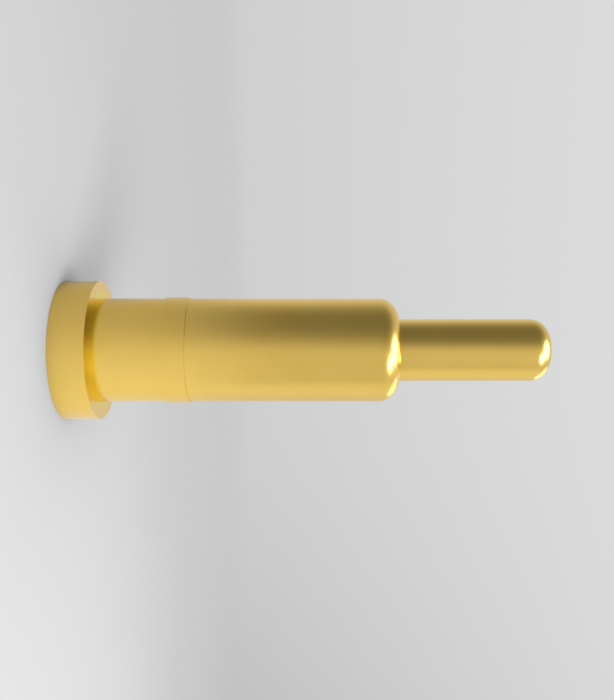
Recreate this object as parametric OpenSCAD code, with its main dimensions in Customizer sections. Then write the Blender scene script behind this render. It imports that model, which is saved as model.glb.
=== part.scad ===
// Spring-loaded contact pin, made to be soldered to a board by its flat flange.
// Three loose pieces: a turned barrel whose mouth is rolled in, a coil spring with closed
// and ground ends, and a round-nosed plunger that the rolled mouth keeps from coming out.
// Millimetres, +Z up, origin at the centre of the flange's solder face.

/* [Barrel] */
// Outside diameter of the barrel's tube
barrel_d = 1.5; // [1.3:0.05:1.8]
// Height of the mouth above the solder face
barrel_h = 4.8; // [4.4:0.1:6]
// Thickness of the tube's wall
wall = 0.18; // [0.14:0.01:0.22]
// Outside radius of the rolled-in mouth
roll_r = 0.28; // [0.25:0.01:0.34]
// Height of the spring's seat above the solder face
seat_h = 0.6; // [0.4:0.05:0.9]
// Diameter of the drill point left in the middle of the seat
drill_d = 0.6; // [0.3:0.05:0.8]
// Full angle of that drill point
drill_angle = 118; // [110:2:140]

/* [Flange and press ring] */
// Diameter of the solder flange
flange_d = 2.0; // [1.8:0.05:2.6]
// Thickness of the solder flange
flange_h = 0.5; // [0.3:0.05:0.8]
// Height of the press ring's upper shoulder above the solder face
ring_top = 1.8; // [1.4:0.1:2.4]
// Width of the press ring along the barrel
ring_w = 0.33; // [0.2:0.01:0.5]
// How far the press ring stands out from the tube
ring_step = 0.018; // [0.01:0.002:0.05]

/* [Plunger] */
// Diameter of the plunger
plunger_d = 0.9; // [0.7:0.05:0.95]
// How far the tip stands out of the mouth at rest
reach = 2.2; // [1.5:0.1:3]
// Radius round the edge of the tip
tip_edge_r = 0.27; // [0.1:0.01:0.34]
// Radius of the shallow dome across the tip
tip_dome_r = 1.3; // [1:0.1:3]
// Length of the collar under the rolled mouth, on its long side
collar_l = 0.95; // [0.7:0.05:1.2]
// Slope of the cut across the collar's tail, which presses the plunger to one side
tail_slope = 12; // [0:1:20]
// How far the plunger is pushed in
push = 0; // [0:0.1:1.4]

/* [Spring] */
// Diameter of the spring wire
wire_d = 0.13; // [0.1:0.01:0.14]
// Turns in all, with one closed turn at each end
turns = 11; // [8:1:12]

/* [Clearances] */
// Round the plunger in the mouth, and round the collar in the bore
slide_gap = 0.02; // [0.01:0.005:0.03]
// Between the collar's shoulder and the rolled mouth at rest
stop_gap = 0.01; // [0.005:0.005:0.02]
// Round the spring in the bore
coil_gap = 0.05; // [0.03:0.01:0.08]
// Between a closed end turn and the turn next to it
closed_gap = 0.01; // [0.005:0.005:0.02]

/* [Hidden] */

$fn = 96;
over = 0.5;                             // overrun of a cutting tool past what it cuts

barrel_r = barrel_d / 2;
bore_r = barrel_r - wall;
roll_x = barrel_r - roll_r;             // centre of the mouth's roll, out from the axis
roll_z = barrel_h - roll_r;             // and its height
lip_r = roll_r - wall;                  // radius inside the roll

plunger_r = plunger_d / 2;
mouth_r = plunger_r + slide_gap;
collar_r = bore_r - slide_gap;
shoulder_r = lip_r - slide_gap;         // the collar's shoulder is rounded to follow the roll
collar_z = roll_z + lip_r - stop_gap;   // top of the collar at rest
tail_z = collar_z - collar_l;           // lowest point of the collar at rest
tip_z = barrel_h + reach;

// The tip's edge is an arc that touches both the plunger's side and the dome
dome_z = tip_z - tip_dome_r;
edge_x = plunger_r - tip_edge_r;
edge_up = sqrt(pow(tip_dome_r - tip_edge_r, 2) - pow(edge_x, 2));
edge_z = dome_z + edge_up;

// Spring: centre line from the seat to the tail, with the wire's axis in the ground faces
spring_r = bore_r - coil_gap - wire_d / 2;
spring_l = tail_z - push - seat_h;
closed_pitch = wire_d + closed_gap;
ease = 0.5;                             // turns over which the pitch opens out
open_pitch = closed_pitch + (spring_l - turns * closed_pitch) / (turns - 2 - ease);
steps_per_turn = 20;
wire_sides = 8;

// The half plane right of the axis, where a turned profile is drawn
module half_plane() {
    square([flange_d, tip_z]);
}

module barrel_outline() {
    square([flange_d / 2, flange_h]);
    square([barrel_r, roll_z]);
    translate([0, ring_top - ring_w]) square([barrel_r + ring_step, ring_w]);
    square([roll_x, barrel_h]);
    translate([roll_x, roll_z]) circle(roll_r);
}

module bore_outline() {
    translate([0, seat_h]) square([bore_r, roll_z - seat_h]);
    translate([0, seat_h]) square([roll_x, roll_z + lip_r - seat_h]);
    translate([roll_x, roll_z]) circle(lip_r);
    translate([0, roll_z]) square([mouth_r, roll_r + over]);
    polygon([
        [0, seat_h - drill_d / 2 / tan(drill_angle / 2)],
        [drill_d / 2, seat_h],
        [drill_d / 2, seat_h + drill_d / 2],
        [0, seat_h + drill_d / 2],
    ]);
}

module plunger_outline() {
    // Tail end up to the rounded shoulder
    translate([0, tail_z]) square([collar_r, collar_l - shoulder_r]);
    translate([0, tail_z]) square([collar_r - shoulder_r, collar_l]);
    translate([collar_r - shoulder_r, collar_z - shoulder_r]) circle(shoulder_r);
    // Shaft and rounded tip
    translate([0, tail_z]) square([plunger_r, edge_z - tail_z]);
    translate([edge_x, edge_z]) circle(tip_edge_r);
    intersection() {
        translate([0, dome_z]) circle(tip_dome_r);
        polygon([[0, dome_z], [2 * edge_x, dome_z + 2 * edge_up], [0, dome_z + 2 * edge_up]]);
    }
}

// Height of the wire's centre line above the seat after t turns: it climbs slowly through
// the closed end turn, opens out to the working pitch, and mirrors that at the other end
function climb(t) =
    t <= 1 ? closed_pitch * t :
    t <= 1 + ease ? closed_pitch * t + (open_pitch - closed_pitch) * pow(t - 1, 2) / (2 * ease) :
    closed_pitch * t + (open_pitch - closed_pitch) * (t - 1 - ease / 2);
function wire_height(t) = t <= turns / 2 ? climb(t) : spring_l - climb(turns - t);
// The wheel takes off whatever stands past the two ground faces
function ground(z) = min(max(z, 0), spring_l);
function wire_point(t, side) =
    let (r = spring_r + wire_d / 2 * cos(side), z = wire_height(t) + wire_d / 2 * sin(side))
    [r * cos(360 * t), r * sin(360 * t), seat_h + ground(z)];

// Brass, turned from bar, drilled from the mouth, and rolled in over the plunger's collar
module barrel() {
    color("gold")
    rotate_extrude()
    intersection() {
        half_plane();
        difference() {
            barrel_outline();
            bore_outline();
        }
    }
}

// Spring wire, coiled, with both end turns closed and ground flat
module spring() {
    rings = turns * steps_per_turn;
    sides = wire_sides;
    points = [
        for (i = [0:rings]) for (s = [0:sides - 1])
            wire_point(i / steps_per_turn, 360 * s / sides)
    ];
    walls = [
        for (i = [0:rings - 1]) for (s = [0:sides - 1])
            let (a = i * sides + s, b = i * sides + (s + 1) % sides)
            [a, a + sides, b + sides, b]
    ];
    // Each end is a fan from the wire's round side, because its ground side is straight
    first_fan = [
        for (k = [1:sides - 2]) let (from = sides / 4)
            [from, (from + k) % sides, (from + k + 1) % sides]
    ];
    last_fan = [
        for (k = [1:sides - 2]) let (from = 3 * sides / 4, base = rings * sides)
            [base + from, base + (from + k + 1) % sides, base + (from + k) % sides]
    ];
    color("lightsteelblue")
    polyhedron(points, concat(walls, first_fan, last_fan));
}

// Brass, turned, with a collar that cannot pass the mouth and a tail cut on the slope
module plunger() {
    color("goldenrod")
    translate([0, 0, -push])
    difference() {
        rotate_extrude()
        intersection() {
            half_plane();
            plunger_outline();
        }
        translate([-collar_r, 0, tail_z])
        rotate([0, -tail_slope, 0])
        translate([-over, -collar_r - over, -collar_r])
            cube([3 * collar_r + over, 2 * (collar_r + over), collar_r]);
    }
}

barrel();
spring();
plunger();
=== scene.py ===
import math

import bmesh
import bpy
from mathutils import Matrix


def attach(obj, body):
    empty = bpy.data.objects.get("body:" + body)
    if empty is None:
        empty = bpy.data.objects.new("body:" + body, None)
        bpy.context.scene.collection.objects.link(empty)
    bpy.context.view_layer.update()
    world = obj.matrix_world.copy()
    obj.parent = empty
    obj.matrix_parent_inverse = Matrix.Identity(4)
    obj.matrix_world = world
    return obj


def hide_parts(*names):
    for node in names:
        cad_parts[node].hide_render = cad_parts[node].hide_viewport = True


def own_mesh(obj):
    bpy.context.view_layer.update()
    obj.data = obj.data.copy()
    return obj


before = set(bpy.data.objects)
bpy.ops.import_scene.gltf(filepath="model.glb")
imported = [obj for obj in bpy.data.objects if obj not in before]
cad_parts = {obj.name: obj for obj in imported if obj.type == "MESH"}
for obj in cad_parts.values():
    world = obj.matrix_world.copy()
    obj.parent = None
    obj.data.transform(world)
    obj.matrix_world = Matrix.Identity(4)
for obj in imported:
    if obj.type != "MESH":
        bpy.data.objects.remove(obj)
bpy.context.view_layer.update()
MM = 0.001


# Barrel: one brass piece, turned from bar with its solder flange and press ring, drilled
# from the mouth to a drill-pointed seat, and rolled in at the mouth over the plunger's
# collar. It is plated with nickel and then gold.
barrel_r = 0.75
bore_r = 0.57
flange_r = 1.0
flange_h = 0.5
ring_step = 0.018
ring_r = barrel_r + ring_step
ring_low = 1.47
ring_top = 1.8
mouth_z = 4.8
roll_r = 0.28
roll_x = barrel_r - roll_r
roll_z = mouth_z - roll_r
mouth_r = 0.47
lip_r = roll_r - (barrel_r - bore_r)
lip_break = 0.015
seat_z = 0.6
drill_r = 0.3
drill_point = 118
drill_depth = drill_r / math.tan(math.radians(drill_point / 2))
sharp_edge = 32
spin_steps = 240
hair = 0.005
tint_core, tint_edge = 0.08, 0.12
deep_gold = (0.885, 0.6, 0.14)
pale_gold = (0.915, 0.64, 0.16)
# Painted reflection: the colour that light bounced between flange and tube gives the gold.
painted_bounce_gold = (0.9, 0.66, 0.09, 1)


def arc(centre, radius, start, end, steps):
    """Points (radius out from the axis, height) along an arc, from one angle to another."""
    turns = [math.radians(start + (end - start) * i / steps) for i in range(steps + 1)]
    return [(centre[0] + radius * math.cos(a), centre[1] + radius * math.sin(a)) for a in turns]


def wall(radius, low, high, steps):
    """Points up or down a straight turned wall."""
    return [(radius, low + (high - low) * i / steps) for i in range(steps + 1)]


def turned(name, outline):
    """A solid of revolution in millimetres: its outline starts and ends on the axis."""
    solid = bmesh.new()
    rings = []
    for radius, height in outline:
        if radius == 0:
            rings.append([solid.verts.new((0, 0, height))] * spin_steps)
            continue
        angles = [2 * math.pi * i / spin_steps for i in range(spin_steps)]
        ring = [(radius * math.cos(a), radius * math.sin(a), height) for a in angles]
        rings.append([solid.verts.new(point) for point in ring])
    for ring, following in zip(rings, rings[1:]):
        for i in range(spin_steps):
            j = (i + 1) % spin_steps
            corners = dict.fromkeys([ring[i], ring[j], following[j], following[i]])
            solid.faces.new(list(corners))
    return finished(name, solid)


def finished(name, solid):
    """A smooth-shaded object from a mesh in millimetres, with its real edges left sharp."""
    bmesh.ops.recalc_face_normals(solid, faces=solid.faces)
    bmesh.ops.scale(solid, vec=(MM, MM, MM), verts=solid.verts)
    mesh = bpy.data.meshes.new(name)
    solid.to_mesh(mesh)
    solid.free()
    mesh.shade_smooth()
    mesh.set_sharp_from_angle(angle=math.radians(sharp_edge))
    piece = bpy.data.objects.new(name, mesh)
    bpy.context.scene.collection.objects.link(piece)
    return piece


barrel_outline = [(0, 0), (flange_r * 0.5, 0)]
barrel_outline += wall(flange_r, 0, flange_h, 4)
barrel_outline += [((flange_r + barrel_r) / 2, flange_h)]
barrel_outline += wall(barrel_r, flange_h, ring_low, 6)
barrel_outline += wall(ring_r, ring_low, ring_top, 3)
barrel_outline += wall(barrel_r, ring_top, roll_z, 16)
barrel_outline += arc((roll_x, roll_z), roll_r, 2, 87, 44)
barrel_outline += [(mouth_r, mouth_z - lip_break)]
barrel_outline += arc((roll_x, roll_z), lip_r, 90, 0, 14)
barrel_outline += wall(bore_r, roll_z, seat_z, 12)[1:]
barrel_outline += [(drill_r, seat_z), (0, seat_z - drill_depth)]
barrel = turned("plated_barrel", barrel_outline)


class Finish:
    """A value that varies over a surface: arithmetic on it adds the material's nodes."""

    def __init__(self, socket):
        self.socket = socket

    def node(self, kind, settings, values, output=0):
        """Any other node: its settings first, then the values or links of its sockets."""
        made = self.socket.id_data.nodes.new(kind)
        for name, setting in settings.items():
            if name == "stops":
                ramp = made.color_ramp
                for stop, (position, shade) in enumerate(setting):
                    ramp.elements[stop].position = position
                    ramp.elements[stop].color = (*shade, 1)
            else:
                setattr(made, name, setting)
        for name, value in values.items():
            if isinstance(value, Finish):
                self.socket.id_data.links.new(value.socket, made.inputs[name])
            else:
                made.inputs[name].default_value = value
        return Finish(made.outputs[output]) if made.outputs else None

    def math(self, operation, first, second):
        return self.node("ShaderNodeMath", {"operation": operation}, {0: first, 1: second})

    def part(self, axis):
        """One of the three numbers of a vector."""
        return self.node("ShaderNodeSeparateXYZ", {}, {"Vector": self}, axis)

    def vector(self, operation, other, output=0):
        """Vector arithmetic with another vector."""
        settings = {"operation": operation}
        return self.node("ShaderNodeVectorMath", settings, {0: self, 1: other}, output)

    def length(self):
        return self.node("ShaderNodeVectorMath", {"operation": "LENGTH"}, {0: self}, "Value")

    def eased(self, low, high, before, after):
        """Goes smoothly from one value to another while this one goes from low to high."""
        return self.node(
            "ShaderNodeMapRange",
            {"interpolation_type": "SMOOTHSTEP"},
            {"Value": self, "From Min": low, "From Max": high, "To Min": before, "To Max": after},
        )

    def __add__(self, other):
        return self.math("ADD", self, other)

    def __sub__(self, other):
        return self.math("SUBTRACT", self, other)

    def __mul__(self, other):
        return self.math("MULTIPLY", self, other)

    def __truediv__(self, other):
        return self.math("DIVIDE", self, other)

    def __radd__(self, other):
        return self.math("ADD", other, self)

    def __rsub__(self, other):
        return self.math("SUBTRACT", other, self)

    def __rmul__(self, other):
        return self.math("MULTIPLY", other, self)


def bare_material(name):
    """An empty material, and the point on the piece that its nodes start from."""
    material = bpy.data.materials.new(name)
    material.use_nodes = True
    tree = material.node_tree
    tree.nodes.clear()
    place = Finish(tree.nodes.new("ShaderNodeTexCoord").outputs["Object"])
    return material, place


def show(shader, kind="ShaderNodeOutputMaterial"):
    """Connects the last shader to the output of its material, or of the world."""
    shader.node(kind, {}, {"Surface": shader})


def gold_plate(name, polish):
    """Electroplated gold over a turned surface: fine rings from the tool, softened by the plating,
    and a satin grain. In the corner of flange and tube a more saturated gold is painted in,
    a painted reflection of the light bouncing between them."""
    material, place = bare_material(name)
    height = place.part("Z") / MM
    out = place.vector("MULTIPLY", (1, 1, 0)).length() / MM
    grain = place.node("ShaderNodeTexNoise", {}, {"Vector": place, "Scale": 26000.0, "Detail": 3.0})
    cloud = place.node("ShaderNodeTexNoise", {}, {"Vector": place, "Scale": 900.0, "Detail": 2.0})
    rings = place.node(
        "ShaderNodeTexNoise", {"noise_dimensions": "1D"}, {"W": height, "Scale": 42.0, "Detail": 3.0}
    )
    colour = place.node(
        "ShaderNodeValToRGB", {"stops": [(0.3, deep_gold), (0.7, pale_gold)]}, {"Fac": cloud}
    )
    # Painted reflection: a narrow band in the corner of flange and tube turns a more saturated gold,
    # standing in for light bouncing between them.
    above_flange = height.math("GREATER_THAN", height, flange_h - hair)
    from_corner = height + out - (flange_h + barrel_r)
    corner = from_corner.eased(tint_core, tint_edge, 1, 0) * above_flange
    colour = place.node(
        "ShaderNodeMix", {"data_type": "RGBA"}, {0: corner, 6: colour, 7: painted_bounce_gold}, 2
    )
    roughness = polish + 0.03 * (cloud - 0.5) + 0.02 * (grain - 0.5)
    relief = 0.6 * rings + 0.4 * grain
    bump = place.node(
        "ShaderNodeBump", {}, {"Height": relief, "Strength": 0.05, "Distance": 0.0004 * MM}
    )
    shader = place.node(
        "ShaderNodeBsdfPrincipled",
        {},
        {"Base Color": colour, "Metallic": 1.0, "Roughness": roughness, "Normal": bump},
    )
    show(shader)
    return material


barrel.data.materials.append(gold_plate("gold_plated_barrel", polish=0.25))
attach(barrel, "barrel")
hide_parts("barrel")


# Spring: stainless wire wound on the right-hand thread, with one closed turn at each end
# ground flat. It stands on the seat in the bore and pushes on the plunger's sloped tail.
wire_r = 0.065
coil_r = 0.455
coil_turns = 11
coil_low = seat_z
coil_high = 3.66
closed_pitch = 0.14
ease = 0.5
steps_per_turn = 48
wire_sides = 16
dull_steel = (0.5, 0.49, 0.47)
bright_steel = (0.62, 0.61, 0.59)
coil_length = coil_high - coil_low
open_pitch = closed_pitch + (coil_length - coil_turns * closed_pitch) / (coil_turns - 2 - ease)


def climb(t):
    """Height of the wire after t turns from a closed end."""
    if t <= 1:
        return closed_pitch * t
    opened = t - 1
    if opened <= ease:
        return closed_pitch * t + (open_pitch - closed_pitch) * opened**2 / (2 * ease)
    return closed_pitch * t + (open_pitch - closed_pitch) * (opened - ease / 2)


def coil_point(t, side):
    """A point on the wire's skin, cut back to the ground face where it stands past it."""
    height = climb(t) if t <= coil_turns / 2 else coil_length - climb(coil_turns - t)
    radius = coil_r + wire_r * math.cos(side)
    height = min(max(height + wire_r * math.sin(side), 0), coil_length)
    turn = 2 * math.pi * t
    return radius * math.cos(turn), radius * math.sin(turn), coil_low + height


coil = bmesh.new()
loops = []
for step in range(coil_turns * steps_per_turn + 1):
    sides = [2 * math.pi * s / wire_sides for s in range(wire_sides)]
    loops.append([coil.verts.new(coil_point(step / steps_per_turn, side)) for side in sides])
for loop, following in zip(loops, loops[1:]):
    for s in range(wire_sides):
        t = (s + 1) % wire_sides
        coil.faces.new([loop[s], loop[t], following[t], following[s]])
coil.faces.new(loops[0])
coil.faces.new(loops[-1])
spring = finished("coil_spring", coil)


def spring_steel(name):
    """Cold-drawn stainless wire: bright, with faint draw lines and the odd dull patch."""
    material, place = bare_material(name)
    draw = place.node("ShaderNodeTexNoise", {}, {"Vector": place, "Scale": 14000.0, "Detail": 2.0})
    colour = place.node(
        "ShaderNodeValToRGB", {"stops": [(0.3, dull_steel), (0.7, bright_steel)]}, {"Fac": draw}
    )
    bump = place.node(
        "ShaderNodeBump", {}, {"Height": draw, "Strength": 0.15, "Distance": 0.0005 * MM}
    )
    shader = place.node(
        "ShaderNodeBsdfPrincipled",
        {},
        {"Base Color": colour, "Metallic": 1.0, "Roughness": 0.22 + 0.1 * draw, "Normal": bump},
    )
    show(shader)
    return material


spring.data.materials.append(spring_steel("stainless_spring_wire"))
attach(spring, "barrel")
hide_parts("spring")
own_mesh(spring)


# Plunger: turned brass, gold plated. A long collar inside the barrel can't pass the rolled
# mouth, its tail is cut on the slope so that the spring presses the plunger to one side,
# and the tip is rounded at its edge and slightly domed across.
plunger_r = 0.45
collar_r = 0.55
shoulder_r = 0.08
collar_top = 4.61
tail_z = 3.66
tail_slope = math.tan(math.radians(12))
tip_z = 7.0
tip_edge_r = 0.27
tip_dome_r = 1.3
edge_x = plunger_r - tip_edge_r
edge_up = math.sqrt((tip_dome_r - tip_edge_r) ** 2 - edge_x**2)
edge_z = tip_z - tip_dome_r + edge_up
blend_angle = math.degrees(math.atan2(edge_up, edge_x))

plunger_outline = [(0, tail_z), (collar_r * 0.5, tail_z)]
plunger_outline += wall(collar_r, tail_z, collar_top - shoulder_r, 5)
plunger_outline += arc((collar_r - shoulder_r, collar_top - shoulder_r), shoulder_r, 8, 90, 10)
plunger_outline += wall(plunger_r, collar_top, edge_z, 14)
plunger_outline += arc((edge_x, edge_z), tip_edge_r, 2, blend_angle, 36)
plunger_outline += arc((0, tip_z - tip_dome_r), tip_dome_r, blend_angle, 90, 10)[1:-1]
plunger_outline += [(0, tip_z)]
plunger = turned("round_nosed_plunger", plunger_outline)
for vertex in plunger.data.vertices:
    if vertex.co.z < (tail_z + hair) * MM:
        vertex.co.z += (vertex.co.x + collar_r * MM) * tail_slope

plunger.data.materials.append(gold_plate("gold_plated_plunger", polish=0.235))
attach(plunger, "plunger")
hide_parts("plunger")


# Floor: a large sheet of pale grey card that fades out far round the pin, so that it has no
# edge to see. A wide pool of light is painted on it in front on the right, under the key light,
# and for the gold's reflections and bounced light it is painted darker on the left than on the
# right.
card_half = 150
pool_centre = (9 * MM, -9 * MM, 0)
pool_core, pool_edge = 2, 20
fade_start, fade_end = 5, 40
bright_way = (0.996, -0.087, 0)
seen_level, pool_gain = 0.41, 0.142
mirrored_level, bright_gain = 0.487, 0.125

card = bmesh.new()
corners = [(-1, -1), (1, -1), (1, 1), (-1, 1)]
card.faces.new([card.verts.new((x * card_half, y * card_half, 0)) for x, y in corners])
floor = finished("card_floor", card)

material, place = bare_material("grey_card")
# Painted light: a wide pool of light in front on the right, where the camera sees the card.
from_pool = place.vector("DISTANCE", pool_centre, "Value") / MM
pool = from_pool.eased(pool_core, pool_edge, 1, 0)
# Painted light: for all rays but the camera's, the card is lighter towards the right, as the gold
# mirrors it and light bounces from it.
toward = place.node("ShaderNodeVectorMath", {"operation": "NORMALIZE"}, {0: place})
toward = toward.vector("DOT_PRODUCT", bright_way, "Value")
painted_pool_card = seen_level + pool_gain * pool
painted_side_card = mirrored_level + bright_gain * toward
direct = place.node("ShaderNodeLightPath", {}, {}, "Is Camera Ray")
shade = painted_side_card + (painted_pool_card - painted_side_card) * direct
card_face = place.node("ShaderNodeBsdfDiffuse", {}, {"Color": shade})
beyond = place.node("ShaderNodeBsdfTransparent", {}, {})
gone = (place.length() / MM).eased(fade_start, fade_end, 0, 1)
show(place.node("ShaderNodeMixShader", {}, {0: gone, 1: card_face, 2: beyond}))
floor.data.materials.append(material)


# Light: a key softbox high on the right, a round panel overhead, a small one behind on the
# right, and a room that is dimmer on the left. The camera sees a pale backdrop with painted
# shade, lighter upwards and darker low towards the right.
lamp_distance = 100 * MM
dim_way = (-0.89, -0.454, 0.25)
lit_way = (0.966, 0.259, 0.2)
far_right = 0.42


def softbox(name, azimuth, elevation, wide, tall, level):
    """A flat lamp facing the pin: sizes as angles seen from the pin, level as its brightness."""
    around, up = math.radians(azimuth), math.radians(elevation)
    lamp = bpy.data.lights.new(name, "AREA")
    lamp.shape = "ELLIPSE"
    lamp.size = 2 * lamp_distance * math.tan(math.radians(wide / 2))
    lamp.size_y = 2 * lamp_distance * math.tan(math.radians(tall / 2))
    area = lamp.size * lamp.size_y * math.pi / 4
    lamp.energy = level * math.pi * area
    away = (math.sin(around) * math.cos(up), -math.cos(around) * math.cos(up), math.sin(up))
    side = (math.cos(around), math.sin(around), 0)
    over = (-math.sin(around) * math.sin(up), math.cos(around) * math.sin(up), math.cos(up))
    placed = bpy.data.objects.new(name, lamp)
    turned_to = Matrix((side, over, away)).transposed().to_4x4()
    turned_to.translation = [lamp_distance * part for part in away]
    placed.matrix_world = turned_to
    bpy.context.scene.collection.objects.link(placed)


softbox("key_light", azimuth=40, elevation=50, wide=26, tall=25, level=8.6)
softbox("overhead_panel", azimuth=6, elevation=81, wide=37, tall=41, level=5.3)
softbox("rear_light", azimuth=137, elevation=38, wide=30, tall=30, level=1.2)

world = bpy.data.worlds.new("studio_room")
bpy.context.scene.world = world
world.use_nodes = True
world.node_tree.nodes.clear()
seen = Finish(world.node_tree.nodes.new("ShaderNodeTexCoord").outputs["Generated"])
dim_side = seen.vector("DOT_PRODUCT", dim_way, "Value")
lit_side = seen.vector("DOT_PRODUCT", lit_way, "Value")
room = dim_side.eased(0.34, 1.05, 0.66, 0.19)
room = room + lit_side.eased(0.82, 1, 0, 0.2)
room = room + seen.part("Y").eased(0.5, 1, 0, 0.09)
up = seen.part("Z")
right = seen.part("X")
right = right.math("MINIMUM", right.math("MAXIMUM", right, 0), far_right)
# Painted shade on the backdrop that the camera sees: lighter upwards and darker low towards the
# right.
backdrop = 0.64 + 0.2 * up - 0.48 * right * right * (1 - 2.2 * up)
direct = seen.node("ShaderNodeLightPath", {}, {}, "Is Camera Ray")
light = room * (1 - direct) + backdrop * direct
show(
    seen.node("ShaderNodeBackground", {}, {"Color": (1, 1, 1, 1), "Strength": light}),
    "ShaderNodeOutputWorld",
)


# Camera: level with the pin's middle and a little over a centimetre from it. It lies on its
# side, so that the pin lies across the frame with its tip on the right.
camera_away = 11.73
camera_height = 3.483

lens = bpy.data.cameras.new("camera")
lens.sensor_width = 36
lens.lens = 41.4
lens.clip_start = 0.5 * MM
lens.clip_end = 1
camera = bpy.data.objects.new("camera", lens)
lying = Matrix(((0, -1, 0), (0, 0, -1), (1, 0, 0))).to_4x4()
lying.translation = (0, -camera_away * MM, camera_height * MM)
camera.matrix_world = lying
bpy.context.scene.collection.objects.link(camera)
bpy.context.scene.camera = camera
bpy.context.scene.view_settings.view_transform = "Standard"
bpy.context.scene.cycles.caustics_reflective = False
